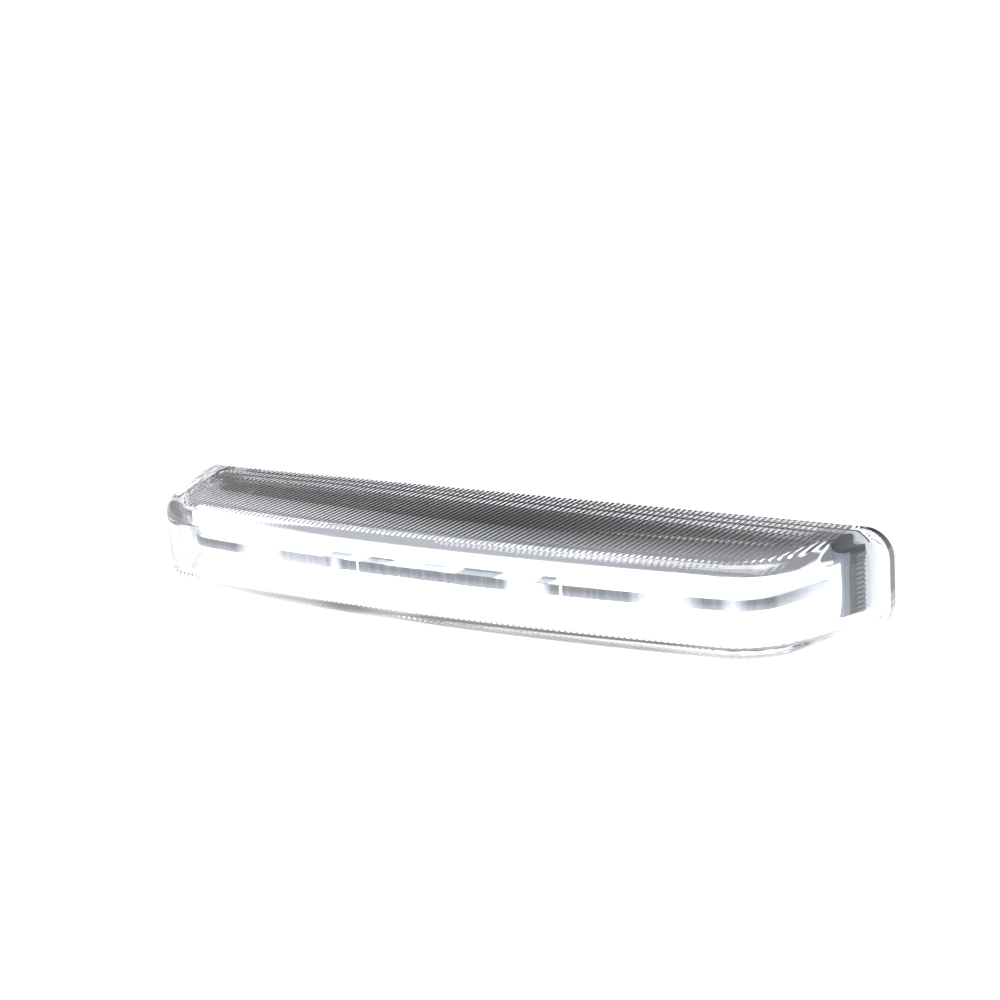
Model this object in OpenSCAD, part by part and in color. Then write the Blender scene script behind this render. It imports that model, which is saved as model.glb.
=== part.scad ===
// Slim surface-mounted warning light with a reeded clear lens.
// X runs along the light, the front faces -Y, +Z is up.
// The origin is the centre of the flat back that goes against the vehicle.
// In the functions below, depth means the distance in front of that back, so y = -depth.

/* [Overall] */
// Length over the flange
overall_length = 202; // [190:1:230]
// Height of the flange and of the lens at the back
overall_height = 23.5; // [23:0.5:28]
// Depth from the back to the front of the lens
overall_depth = 41.5; // [40:0.5:48]

/* [Flange] */
// Thickness of the flange
flange_thickness = 3.4; // [3:0.1:4.5]
// Corner radius of the flange, seen from the front
flange_corner = 6.5; // [4:0.5:8]
// Ledge of the flange past each end of the dome
end_ledge = 2.5; // [2:0.1:4]

/* [Dome] */
// Radius of the bowed front, seen from above
bow_radius = 670; // [500:10:1200]
// Corner radius between the front and an end, seen from above
corner_radius = 20; // [17:0.5:22]
// Lean of the end walls, seen from above, in degrees
end_taper = 20; // [15:1:23]
// Draft of the top and the bottom, in degrees
draft_angle = 1.2; // [0.5:0.1:1.5]
// Radius of the long front edges
edge_radius = 4; // [3:0.25:5]
// Wall of the lens
lens_wall = 2.5; // [2:0.1:2.8]
// Radius of the long front edges on the inside of the lens
inner_edge = 4; // [2:0.25:4.25]

/* [Flutes] */
// Distance between two flutes
flute_pitch = 1.5; // [1.4:0.1:3]
// Depth of a flute
flute_depth = 0.15; // [0.1:0.01:0.6]
// Share of the flute depth that is left on the front face
front_share = 0.15; // [0.05:0.05:0.5]
// Smooth length at each end of the light
plain_end = 9.5; // [7:0.5:12]

/* [Base] */
// Thickness of the back plate
back_thickness = 2.2; // [1.8:0.1:2.6]
// Distance from the front of the lens back to the rim of the housing
housing_setback = 19.3; // [19.2:0.1:25]
// Gap between the housing's corners and the white walls of the reflectors
housing_gap = 0.4; // [0.3:0.1:1]
// Corner radius of the housing, seen from above
housing_corner = 9; // [6:0.5:10]
// Wall of the housing
housing_wall = 1.7; // [1.4:0.1:2]

/* [Seal] */
// Width of the seal between the back plate and the lens
seal_width = 1; // [0.6:0.1:1.2]
// Height of the seal along the depth
seal_depth = 1.7; // [1.2:0.1:1.8]
// Depth that the seal's lips reach forward over and under the housing
lip_depth = 4.3; // [3.5:0.1:6]

/* [Centre plate] */
// Thickness of the centre plate
plate_thickness = 2.8; // [2.4:0.1:3.2]
// Distance from the front of the lens back to the edge of the centre plate
plate_setback = 8; // [7:0.5:9]
// Thickness of the upright web behind the centre plate
web_thickness = 1.6; // [1.2:0.1:2]
// Depth at which the web stands, measured to its back
web_depth = 9.4; // [9.2:0.1:10.2]
// Half of the length of the web
web_half_length = 77; // [75:0.5:78]

/* [Light sources] */
// Distance between two neighbouring light sources
led_pitch = 39; // [36:0.5:40]
// Distance from the front of the lens back to the light sources
led_setback = 17; // [16:0.5:17.5]
// Side of a light source's package
led_side = 3.6; // [3:0.2:3.8]
// Thickness of a light source's package
led_thickness = 0.7; // [0.5:0.1:0.9]
// Radius of the clear dome on a light source
led_dome = 1.5; // [1:0.1:1.5]
// Thickness of a circuit board
board_thickness = 1; // [0.8:0.1:1.2]
// Width of a circuit board, from its front to its back
board_width = 11.8; // [11:0.1:12.5]
// Distance from the front of the lens back to the front of the circuit boards
board_setback = 12; // [11:0.5:13]

/* [Reflectors] */
// Wall of a reflector
reflector_wall = 1.1; // [0.8:0.1:1.3]
// Focal length of the curved back of a reflector
focal_length = 2.2; // [2:0.1:2.6]
// Distance from the front of the lens back to the front edge of a reflector
roof_setback = 7.5; // [7:0.5:9]
// Distance from the front of the lens back to the white walls at both ends
wall_setback = 9.5; // [9:0.1:10.5]
// Thickness of the ribs between the bays
rib_thickness = 1.2; // [0.8:0.1:1.6]

/* [End blocks] */
// Distance from the end wall's outside in to the outer face of an end block
block_setback = 5; // [4.5:0.1:6]
// Depth from the back to the front of an end block
block_depth = 8.5; // [7.5:0.1:10]

/* [Driver] */
// Length of the driver board
driver_length = 80; // [72:1:84]
// Height of the driver board
driver_height = 11.6; // [10:0.1:12]
// Distance that the driver board stands off the back plate
driver_standoff = 1.7; // [1.4:0.1:2]
// Thickness of the driver board
driver_thickness = 1.2; // [1:0.1:1.4]

/* [Back fittings] */
// Distance between the two threaded inserts
insert_spacing = 124; // [120:1:126]
// Outer radius of an insert
insert_radius = 2.8; // [2.6:0.1:3]
// Radius of the thread hole in an insert
insert_bore = 1.65; // [1.6:0.05:2]
// Length of an insert
insert_length = 8; // [6:0.5:8.5]
// Distance from the middle to the cable hole
grommet_offset = 50; // [48:0.5:51]
// Radius of the cable hole in the back plate
grommet_hole = 4; // [3.5:0.1:4.2]
// Radius of the hole through the grommet
cable_bore = 2.75; // [2:0.05:3]
// Radius of the vent hole in the back plate
vent_hole = 2.5; // [2:0.1:3]
// Distance from each end of the web in to the screws that hold it
screw_inset = 5; // [4.5:0.1:6]
// Height of the screws above and below the middle
screw_height = 4; // [3.8:0.1:4.1]
// Radius of the screws' shanks
screw_radius = 1.2; // [1:0.05:1.4]

/* [Hidden] */

// Fine enough for the long bow, whose radius is several times the length of the light
bow_facets = 720;
round_facets = 48;
// Gap between parts that lie next to each other without touching
clearance = 0.3;
// Gap of a part that is pressed or slid into its seat
snug = 0.05;
// Overlap that makes two shapes of one part a single solid
merge = 0.5;

half_length = overall_length / 2;
half_height = overall_height / 2;
// Half-length of the dome at the plane of the back
dome_half = half_length - end_ledge + flange_thickness * tan(end_taper);
// Depth of the centre of the bow, which lies behind the light
bow_centre = overall_depth - bow_radius;

// Centre of the corner radius: it touches the leaning end wall and the bow
wall_foot_x = dome_half - corner_radius * cos(end_taper);
wall_foot_d = -corner_radius * sin(end_taper);
slope_term = 2 * ((wall_foot_d - bow_centre) * cos(end_taper) - wall_foot_x * sin(end_taper));
reach_term = pow(wall_foot_x, 2) + pow(wall_foot_d - bow_centre, 2)
    - pow(bow_radius - corner_radius, 2);
wall_run = (-slope_term + sqrt(pow(slope_term, 2) - 4 * reach_term)) / 2;
corner_x = wall_foot_x - wall_run * sin(end_taper);
corner_d = wall_foot_d + wall_run * cos(end_taper);

// Inside of the lens, where it is open at the back
opening_half_length = dome_half - lens_wall / cos(end_taper);
opening_half_height = half_height - lens_wall;

// The housing ends just under the inside of the lens at its rim
housing_depth = overall_depth - housing_setback;

// The seal fills the gap round the back plate
seal_half_length = opening_half_length - back_thickness * tan(end_taper) - snug;
seal_half_height = opening_half_height - back_thickness * tan(draft_angle) - snug;
seal_corner = inner_edge / cos(end_taper) + clearance;
back_half_length = seal_half_length - seal_width - snug;
back_half_height = seal_half_height - seal_width - snug;

// The housing stands flush with the back plate, above and below
housing_half_height = back_half_height;
bay_half_height = housing_half_height - housing_wall;

web_front = web_depth + web_thickness;
screw_offset = web_half_length - screw_inset;
plate_half = plate_thickness / 2;
board_top = plate_half + board_thickness;
board_back = overall_depth - board_setback - board_width;
driver_back = back_thickness + driver_standoff;
driver_front = driver_back + driver_thickness;

function bay_x(i) = (i - 2.5) * led_pitch;
reflector_half = 2 * led_pitch;

// The housing's corners stay clear of the white walls, which lean with the end walls of the lens
corner_depth = bow_depth(reflector_half - housing_corner, housing_setback) - housing_corner;
housing_half_length = dome_half - (wall_setback + reflector_wall) / cos(end_taper)
    - corner_depth * tan(end_taper)
    + housing_corner - (housing_corner + housing_gap) / cos(end_taper);

// The housing is open to the front up to just past the last reflector and the web
bay_half_length = max(reflector_half + rib_thickness / 2, web_half_length) + clearance;

// Depth of the bowed front at x, moved in by inset
function bow_depth(x, inset) = bow_centre + sqrt(pow(bow_radius - inset, 2) - x * x);

// Depth of the dome's outline at x, with the outline moved in by inset
function outline_depth(x, inset) =
    let (a = abs(x), r = corner_radius - inset, bow = bow_radius - inset)
    a >= corner_x + r * cos(end_taper)
        ? max(0, (dome_half - inset / cos(end_taper) - a) / tan(end_taper))
        : a >= bow * corner_x / (bow_radius - corner_radius)
            ? corner_d + sqrt(max(0, r * r - pow(a - corner_x, 2)))
            : bow_depth(a, inset);

// One half of the dome's outline from above, moved in by inset, from a given depth forward
function half_outline(inset, back) =
    let (
        r = corner_radius - inset,
        bow = bow_radius - inset,
        meet = atan2(corner_d - bow_centre, corner_x),
        start = [dome_half - inset / cos(end_taper) - back * tan(end_taper), back]
    )
    concat(
        [start],
        [for (k = [0:8]) let (a = end_taper + (meet - end_taper) * k / 8)
            [corner_x + r * cos(a), corner_d + r * sin(a)]],
        [for (k = [1:11]) let (a = meet + (90 - meet) * k / 12)
            [bow * cos(a), bow_centre + bow * sin(a)]],
        [[0, bow_centre + bow]]
    );

// Adds the mirrored half to points that run from the right to the middle, and turns depth to y
function both_sides(half) = concat(
    [for (p = half) [p.x, -p.y]],
    [for (k = [len(half) - 2:-1:0]) [-half[k].x, -half[k].y]]
);

// A slab that follows the dome's outline, from depth back forward and from z = low to high
module outline_slab(inset, back, low, high) {
    translate([0, 0, low])
        linear_extrude(high - low)
            polygon(both_sides(half_outline(inset, back)));
}

// A bar with round ends to its corners, seen from the front, from depth near to depth far
module front_bar(half_x, half_z, radius, near, far) {
    translate([0, -near, 0])
        rotate([90, 0, 0])
            linear_extrude(far - near)
                rounded_outline(half_x, half_z, radius);
}

module rounded_outline(half_x, half_z, radius) {
    square([2 * (half_x - radius), 2 * half_z], center = true);
    square([2 * half_x, 2 * (half_z - radius)], center = true);
    for (sx = [-1, 1], sz = [-1, 1])
        translate([sx * (half_x - radius), sz * (half_z - radius)])
            circle(r = radius, $fn = round_facets);
}

// A round bar along the depth
module depth_rod(x, z, radius, near, far) {
    translate([x, -near, z])
        rotate([90, 0, 0])
            cylinder(h = far - near, r = radius, $fn = round_facets);
}

// A plain block given by its lowest and highest x, depth and z
module block(x0, x1, near, far, z0, z1) {
    translate([x0, -far, z0])
        cube([x1 - x0, far - near, z1 - z0]);
}

// Lens: sections across the light, two for each flute, closed round the smooth inside
flute_count = round((overall_length - 2 * plain_end) / flute_pitch);
flute_half = flute_count * flute_pitch / 2;
end_steps = 12;
inner_steps = 48;
edge_angles = [90, 60, 30, 0];

function end_x(k) = flute_half + (half_length - flute_half) * sin(90 * k / end_steps);

// Each station is its x and how far its groove is sunk
stations = concat(
    [for (k = [end_steps:-1:1]) [-end_x(k), 0]],
    [for (i = [0:2 * flute_count])
        [-flute_half + i * flute_pitch / 2, i % 2 == 0 ? flute_depth : 0]],
    [for (k = [1:end_steps]) [end_x(k), 0]]
);

// Share of the full height that the round corners of the flange leave at x
function height_share(x) =
    let (past = max(0, abs(x) - (half_length - flange_corner)))
    (half_height - flange_corner + sqrt(max(0, pow(flange_corner, 2) - past * past)))
        / half_height;

function skin_height(depth, drop, share, groove) =
    share * (half_height - depth * tan(draft_angle) - drop) - groove;

// Upper half of an outer section, as depth and height, from the back to the front face
function outer_half(x, groove) =
    let (share = height_share(x))
    concat(
        [for (d = [0, flange_thickness]) [d, skin_height(d, 0, share, groove)]],
        [for (a = edge_angles)
            let (
                // The flutes fade from the top over the edge to the front
                sunk = groove * (front_share + (1 - front_share) * a / 90),
                inset = edge_radius * (1 - cos(a)) + sunk,
                d = max(flange_thickness, outline_depth(x, inset))
            )
            [d, skin_height(d, edge_radius * (1 - sin(a)), share, sunk)]]
    );

function inner_half(x) = concat(
    [[0, opening_half_height]],
    [for (a = edge_angles)
        let (d = outline_depth(x, lens_wall + inner_edge * (1 - cos(a))))
        [d, opening_half_height - d * tan(draft_angle) - inner_edge * (1 - sin(a))]]
);

function closed_section(x, half) = concat(
    [for (p = half) [x, -p[0], p[1]]],
    [for (k = [len(half) - 1:-1:0]) [x, -half[k][0], -half[k][1]]]
);

module outer_lens() {
    outer = [for (s = stations) closed_section(s[0], outer_half(s[0], s[1]))];
    inner = [for (k = [0:inner_steps])
        let (x = opening_half_length * sin(90 * (2 * k / inner_steps - 1)))
        closed_section(x, inner_half(x))];
    rows = len(outer);
    m = len(outer[0]);
    n = len(inner[0]);
    base = rows * m;
    last = rows - 1;
    // Inner section that an outer one is joined to at the open back
    partner = [for (i = [0:last]) floor(i * inner_steps / last)];
    skin = [for (i = [0:last - 1], j = [0:m - 2])
        let (a = i * m + j, b = a + m)
        each [[a, b, a + 1], [b, b + 1, a + 1]]];
    lining = [for (i = [0:inner_steps - 1], j = [0:n - 2])
        let (a = base + i * n + j, b = a + n)
        each [[a, a + 1, b], [b, a + 1, b + 1]]];
    left_end = [for (j = [1:m - 2]) [0, j, j + 1]];
    right_end = [for (j = [1:m - 2]) [last * m, last * m + j + 1, last * m + j]];
    top_rim = [for (i = [0:last - 1])
        let (k = base + partner[i] * n)
        each concat(
            [[i * m, k, (i + 1) * m]],
            partner[i + 1] > partner[i] ? [[(i + 1) * m, k, k + n]] : []
        )];
    low_rim = [for (i = [0:last - 1])
        let (k = base + partner[i] * n + n - 1, o = m - 1)
        each concat(
            [[i * m + o, (i + 1) * m + o, k]],
            partner[i + 1] > partner[i] ? [[(i + 1) * m + o, k + n, k]] : []
        )];
    left_rim = concat(
        [[0, m - 1, base + n - 1]],
        [for (j = [0:n - 2]) [0, base + j + 1, base + j]]
    );
    far = base + inner_steps * n;
    right_rim = concat(
        [[last * m, far + n - 1, last * m + m - 1]],
        [for (j = [0:n - 2]) [last * m, far + j, far + j + 1]]
    );
    color([0.86, 0.9, 0.93, 0.35])
        polyhedron(
            points = [for (s = concat(outer, inner)) each s],
            faces = concat(skin, lining, left_end, right_end, top_rim, low_rim, left_rim, right_rim)
        );
}

// Housing seen from above: its rim follows the bow and its corners are round
function housing_half_outline(inset) =
    let (
        half = housing_half_length - inset,
        r = housing_corner - inset,
        rim = bow_depth(half - r, housing_setback + inset)
    )
    concat(
        [[half, 0]],
        [for (k = [0:8]) let (a = 90 * k / 8)
            [half - r + r * cos(a), rim - r + r * sin(a)]],
        [for (k = [11:-1:1]) let (x = (half - r) * k / 12)
            [x, bow_depth(x, housing_setback + inset)]],
        [[0, bow_depth(0, housing_setback + inset)]]
    );

module housing_slab(inset, half_z) {
    translate([0, 0, -half_z])
        linear_extrude(2 * half_z)
            polygon(both_sides(housing_half_outline(inset)));
}

insert_boss = insert_radius + 1.5;
insert_floor = insert_length + 1;
screw_boss = screw_radius + 1.5;
screw_pilot = screw_radius - 0.15;
screw_grip = web_depth * 0.6;
screw_head = screw_radius * 1.15;
screw_slot = screw_radius * 0.4;
peg_radius = 0.9;
peg_x = driver_length / 2 - 3;

module rear_base() {
    color([0.05, 0.05, 0.055])
        difference() {
            union() {
                front_bar(back_half_length, back_half_height, seal_corner - seal_width,
                    0, back_thickness);
                difference() {
                    housing_slab(0, housing_half_height);
                    // Driver bay, open to the front
                    intersection() {
                        housing_slab(housing_wall, bay_half_height);
                        block(-half_length, half_length, back_thickness, overall_depth,
                            -half_height, half_height);
                    }
                    block(-bay_half_length, bay_half_length,
                        back_thickness, overall_depth, -bay_half_height, bay_half_height);
                }
                for (s = [-1, 1]) {
                    depth_rod(s * insert_spacing / 2, 0, insert_boss, 0, insert_floor);
                    depth_rod(s * peg_x, 0, 1.8, back_thickness - merge, driver_back);
                    depth_rod(s * peg_x, 0, peg_radius, back_thickness - merge,
                        driver_front + 0.8);
                    for (z = [-1, 1])
                        depth_rod(s * screw_offset, z * screw_height, screw_boss,
                            back_thickness - merge, web_depth);
                }
            }
            for (s = [-1, 1]) {
                depth_rod(s * insert_spacing / 2, 0, insert_radius + snug,
                    -1, insert_length + snug);
                for (z = [-1, 1])
                    depth_rod(s * screw_offset, z * screw_height, screw_pilot,
                        back_thickness + 1, web_depth + 1);
            }
            depth_rod(grommet_offset, 0, grommet_hole, -1, back_thickness + 1);
            depth_rod(-grommet_offset, 0, vent_hole, -1, back_thickness + 1);
        }
}

module perimeter_seal() {
    lip_top = opening_half_height - lip_depth * tan(draft_angle) - snug;
    color([0.82, 0.83, 0.84])
        union() {
            difference() {
                front_bar(seal_half_length, seal_half_height, seal_corner,
                    back_thickness - seal_depth, back_thickness);
                front_bar(back_half_length + snug, back_half_height + snug,
                    seal_corner - seal_width,
                    back_thickness - seal_depth - 1, back_thickness + 1);
            }
            // Lips that lie on the housing, above and below
            for (s = [-1, 1])
                block(-housing_half_length, housing_half_length,
                    back_thickness - merge, lip_depth,
                    s > 0 ? back_half_height + snug : -lip_top,
                    s > 0 ? lip_top : -back_half_height - snug);
        }
}

// Window in the web for the pins that link the boards
link_x = driver_length / 2 - 10;
link_half = 3;
pin_radius = 0.3;
pin_gap = 1.27;
pin_z = plate_half + board_thickness / 2;
window_top = pin_z + pin_radius + 1;

module heat_sink() {
    color([0.62, 0.64, 0.67])
        difference() {
            union() {
                front_bar(web_half_length, bay_half_height - clearance, 1.5,
                    web_depth, web_front);
                outline_slab(plate_setback, block_depth + clearance, -plate_half, plate_half);
            }
            // The plate is cut away where the housing passes it
            for (s = [-1, 1])
                intersection() {
                    housing_slab(-clearance, half_height);
                    translate([s > 0 ? web_half_length : -web_half_length - half_length, 0, 0])
                        block(0, half_length, 0, overall_depth, -half_height, half_height);
                }
            block(-web_half_length - merge, web_half_length + merge, 0, web_depth,
                -half_height, half_height);
            for (s = [-1, 1], z = [-1, 1])
                depth_rod(s * screw_offset, z * screw_height, screw_radius + 0.15,
                    web_depth - 1, web_front + 1);
            for (z = [-1, 1])
                block(link_x - link_half, link_x + link_half, web_depth - 1, web_front + 1,
                    z > 0 ? plate_half : -window_top, z > 0 ? window_top : -plate_half);
        }
}

board_half_length = bay_x(4) + led_pitch / 2 - rib_thickness;

module led_board(side) {
    color([0.93, 0.94, 0.95])
        intersection() {
            outline_slab(board_setback, board_back,
                side > 0 ? plate_half : -board_top, side > 0 ? board_top : -plate_half);
            block(-board_half_length, board_half_length, 0, overall_depth,
                -half_height, half_height);
        }
}

module upper_board() led_board(1);
module lower_board() led_board(-1);

module led(i, side) {
    depth = outline_depth(bay_x(i), led_setback);
    color([1, 0.98, 0.9])
        translate([bay_x(i), -depth, side * board_top])
            scale_side(side) {
                translate([-led_side / 2, -led_side / 2, 0])
                    cube([led_side, led_side, led_thickness]);
                translate([0, 0, led_thickness])
                    intersection() {
                        sphere(r = led_dome, $fn = round_facets);
                        translate([-led_dome, -led_dome, -merge])
                            cube([2 * led_dome, 2 * led_dome, led_dome + merge]);
                    }
            }
}

// Turns a part upside down for the lower side
module scale_side(side) {
    if (side > 0) children();
    else mirror([0, 0, 1]) children();
}

module led_upper_1() led(1, 1);
module led_upper_2() led(2, 1);
module led_upper_3() led(3, 1);
module led_upper_4() led(4, 1);
module led_lower_1() led(1, -1);
module led_lower_2() led(2, -1);
module led_lower_3() led(3, -1);
module led_lower_4() led(4, -1);

// Reflector: a curved back with its focus at the light sources, a roof and ribs between bays
roof_top = housing_half_height;
roof_low = roof_top - reflector_wall;
focus_depth = overall_depth - led_setback;
focus_z = board_top + led_thickness;
curve_steps = 8;
rib_front = focus_depth + led_side / 2 + 2;
wall_start = reflector_half - rib_thickness;

function curve_depth(z) =
    focus_depth - focal_length + pow(z - focus_z, 2) / (4 * focal_length);
function curve_z(k, top) = board_top + (top - board_top) * k / curve_steps;

// Section of the curved back, as radius from the bow's centre and height
function curve_section() = concat(
    [for (k = [0:curve_steps]) let (z = curve_z(k, roof_low))
        [curve_depth(z) - bow_centre, z]],
    [[curve_depth(roof_low) - bow_centre, roof_top]],
    [for (k = [curve_steps:-1:0]) let (z = curve_z(k, roof_top))
        [curve_depth(z) - reflector_wall - bow_centre, z]]
);

// Section of a rib: from the curved back to a slanted front edge
function rib_section() = concat(
    [for (k = [0:curve_steps]) let (z = curve_z(k, roof_low + reflector_wall / 2))
        [curve_depth(z) - reflector_wall / 2 - bow_centre, z]],
    [[rib_front + 2 - bow_centre, roof_low + reflector_wall / 2],
        [rib_front - bow_centre, board_top]]
);

// White wall behind the edge of the plate, from the last bay round the corner to the end block
module end_wall(s) {
    difference() {
        intersection() {
            outline_slab(wall_setback, block_depth + clearance, plate_half + snug,
                roof_low + reflector_wall / 2);
            translate([s > 0 ? wall_start : -wall_start - half_length, 0, 0])
                block(0, half_length, 0, overall_depth, 0, half_height);
        }
        outline_slab(wall_setback + reflector_wall, 0, 0, half_height);
    }
}

module reflector(side) {
    sweep = asin(reflector_half / (bow_radius - led_setback));
    color([0.8, 0.82, 0.85])
        scale_side(side) {
            difference() {
                outline_slab(roof_setback, block_depth + clearance, roof_low, roof_top);
                housing_slab(-clearance, half_height);
            }
            for (s = [-1, 1]) end_wall(s);
            translate([0, -bow_centre, 0]) {
                rotate([0, 0, -90 - sweep])
                    rotate_extrude(angle = 2 * sweep, $fn = bow_facets)
                        polygon(curve_section());
                for (i = [0:4])
                    rotate([0, 0, -90 + asin((i - 2) * led_pitch / (bow_radius - led_setback))])
                        rotate([90, 0, 0])
                            linear_extrude(rib_thickness, center = true)
                                polygon(rib_section());
            }
        }
}

module upper_reflector() reflector(1);
module lower_reflector() reflector(-1);

// Grey blocks between the housing and the leaning end walls of the lens
block_half_height = housing_half_height - 0.2;
block_pocket = 1.2;
rib_count = 13;
rib_pitch = 2 * block_half_height / (rib_count + 1);
rib_reach = 0.6;

// x of the leaning outer face of an end block at a given depth
function block_face(depth) =
    dome_half - block_setback / cos(end_taper) - depth * tan(end_taper);

// A slice of an end block between two depths, whose outer face is moved out by step
module block_slice(inner_x, near, far, step, low, high) {
    translate([0, 0, low])
        linear_extrude(high - low)
            polygon([[inner_x, -near], [inner_x, -far],
                [block_face(far) + step, -far], [block_face(near) + step, -near]]);
}

module end_block(s) {
    inner_x = housing_half_length + clearance;
    middle = (back_thickness + block_depth) / 2;
    color([0.42, 0.44, 0.47])
        mirror([s > 0 ? 0 : 1, 0, 0]) {
            difference() {
                block_slice(inner_x, back_thickness, block_depth, 0,
                    -block_half_height, block_half_height);
                // Moulding pocket, open to the front
                block(inner_x + block_pocket, block_face(block_depth) - block_pocket,
                    middle, block_depth + 1,
                    -block_half_height + block_pocket, block_half_height - block_pocket);
            }
            // Fine ribs on the outer face
            for (k = [1:rib_count])
                block_slice(inner_x + block_pocket, back_thickness + 0.4, middle, rib_reach,
                    -block_half_height + (k - 0.25) * rib_pitch,
                    -block_half_height + (k + 0.25) * rib_pitch);
        }
}

module end_block_left() end_block(-1);
module end_block_right() end_block(1);

module driver_board() {
    color([0.1, 0.32, 0.2])
        difference() {
            block(-driver_length / 2, driver_length / 2, driver_back, driver_front,
                -driver_height / 2, driver_height / 2);
            for (s = [-1, 1])
                depth_rod(s * peg_x, 0, peg_radius + 0.1, driver_back - 1, driver_front + 1);
        }
}

module capacitor() {
    color([0.16, 0.16, 0.2])
        union() {
            block(-26.5, -19.5, driver_front, driver_front + 0.8, -3.5, 3.5);
            depth_rod(-23, 0, 3.1, driver_front + 0.8 - merge / 2, driver_front + 4);
        }
}

module inductor() {
    color([0.24, 0.23, 0.22])
        difference() {
            block(-12, -5, driver_front, driver_front + 3.6, -3.5, 3.5);
            depth_rod(-8.5, 0, 2.3, driver_front + 3, driver_front + 5);
        }
}

module driver_chip() {
    color([0.08, 0.08, 0.09])
        union() {
            block(2.5, 7.5, driver_front + 0.2, driver_front + 1.7, -2, 2);
            for (i = [0:3], s = [-1, 1])
                block(3 + i * 1.27, 3.4 + i * 1.27, driver_front, driver_front + 0.5,
                    s > 0 ? 1.8 : -3, s > 0 ? 3 : -1.8);
        }
}

module input_diode() {
    color([0.1, 0.1, 0.1])
        union() {
            block(14, 18.4, driver_front + 0.2, driver_front + 2.2, -1.4, 1.4);
            for (x = [13.2, 17.8])
                block(x, x + 1.4, driver_front, driver_front + 0.6, -0.8, 0.8);
        }
}

// Pin strip that carries power from the driver board to both LED boards
module link_pins() {
    color([0.75, 0.65, 0.35])
        union() {
            block(link_x - link_half + 0.4, link_x + link_half - 0.4,
                driver_front, driver_front + 2.4, -pin_z - 0.8, pin_z + 0.8);
            for (s = [-1, 1], z = [-1, 1])
                depth_rod(link_x + s * pin_gap, z * pin_z, pin_radius,
                    driver_front + 1, board_back);
        }
}

// Four screws that hold the web of the centre plate to the housing
module board_screws() {
    color([0.7, 0.7, 0.68])
        for (s = [-1, 1], z = [-1, 1])
            difference() {
                union() {
                    depth_rod(s * screw_offset, z * screw_height, screw_pilot,
                        web_depth - screw_grip, web_front + merge);
                    depth_rod(s * screw_offset, z * screw_height, screw_radius + 0.8,
                        web_front, web_front + screw_head);
                }
                block(s * screw_offset - screw_radius, s * screw_offset + screw_radius,
                    web_front + screw_head / 2, web_front + 2 * screw_head,
                    z * screw_height - screw_slot / 2, z * screw_height + screw_slot / 2);
                block(s * screw_offset - screw_slot / 2, s * screw_offset + screw_slot / 2,
                    web_front + screw_head / 2, web_front + 2 * screw_head,
                    z * screw_height - screw_radius, z * screw_height + screw_radius);
            }
}

module mounting_inserts() {
    color([0.78, 0.62, 0.3])
        for (s = [-1, 1])
            difference() {
                depth_rod(s * insert_spacing / 2, 0, insert_radius, 0, insert_length);
                depth_rod(s * insert_spacing / 2, 0, insert_bore, -1, insert_length + 1);
                // Groove that locks the insert in the moulding
                difference() {
                    depth_rod(s * insert_spacing / 2, 0, insert_radius + 1,
                        insert_length / 2 - 0.6, insert_length / 2 + 0.6);
                    depth_rod(s * insert_spacing / 2, 0, insert_radius - 0.4,
                        insert_length / 2 - 1, insert_length / 2 + 1);
                }
            }
}

grommet_collar = grommet_hole + 1.5;

module cable_grommet() {
    color([0.07, 0.07, 0.07])
        difference() {
            union() {
                depth_rod(grommet_offset, 0, grommet_hole - snug, 0, back_thickness + merge);
                depth_rod(grommet_offset, 0, grommet_collar, back_thickness,
                    back_thickness + 1.5);
            }
            depth_rod(grommet_offset, 0, cable_bore, -1, back_thickness + 3);
        }
}

module breather_vent() {
    color([0.3, 0.3, 0.31])
        difference() {
            union() {
                depth_rod(-grommet_offset, 0, vent_hole - snug, 0.3, back_thickness + merge);
                depth_rod(-grommet_offset, 0, vent_hole + 1, back_thickness,
                    back_thickness + 1);
            }
            for (a = [0:72:288])
                translate([cos(a) * vent_hole / 2, 0, sin(a) * vent_hole / 2])
                    depth_rod(-grommet_offset, 0, 0.35, 0, back_thickness - 0.6);
        }
}

outer_lens();
rear_base();
perimeter_seal();
heat_sink();
upper_board();
lower_board();
led_upper_1();
led_upper_2();
led_upper_3();
led_upper_4();
led_lower_1();
led_lower_2();
led_lower_3();
led_lower_4();
upper_reflector();
lower_reflector();
end_block_left();
end_block_right();
driver_board();
capacitor();
inductor();
driver_chip();
input_diode();
link_pins();
board_screws();
mounting_inserts();
cable_grommet();
breather_vent();
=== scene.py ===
"""Warning light: slim reeded LED light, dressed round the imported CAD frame.

Sizes and places are in millimetres where nothing else is said, and MM turns them into metres.
Depth is the distance in front of the flat back, so y = -depth.
"""
import math

import bmesh
import bpy
import numpy as np
from mathutils import Matrix, Vector


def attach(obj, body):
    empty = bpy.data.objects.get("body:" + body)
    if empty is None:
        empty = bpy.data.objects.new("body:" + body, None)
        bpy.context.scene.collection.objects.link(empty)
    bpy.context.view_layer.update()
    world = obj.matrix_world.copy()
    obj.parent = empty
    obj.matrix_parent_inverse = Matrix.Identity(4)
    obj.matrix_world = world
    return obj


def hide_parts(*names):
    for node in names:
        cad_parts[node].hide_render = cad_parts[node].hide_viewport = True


MM = 0.001

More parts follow.
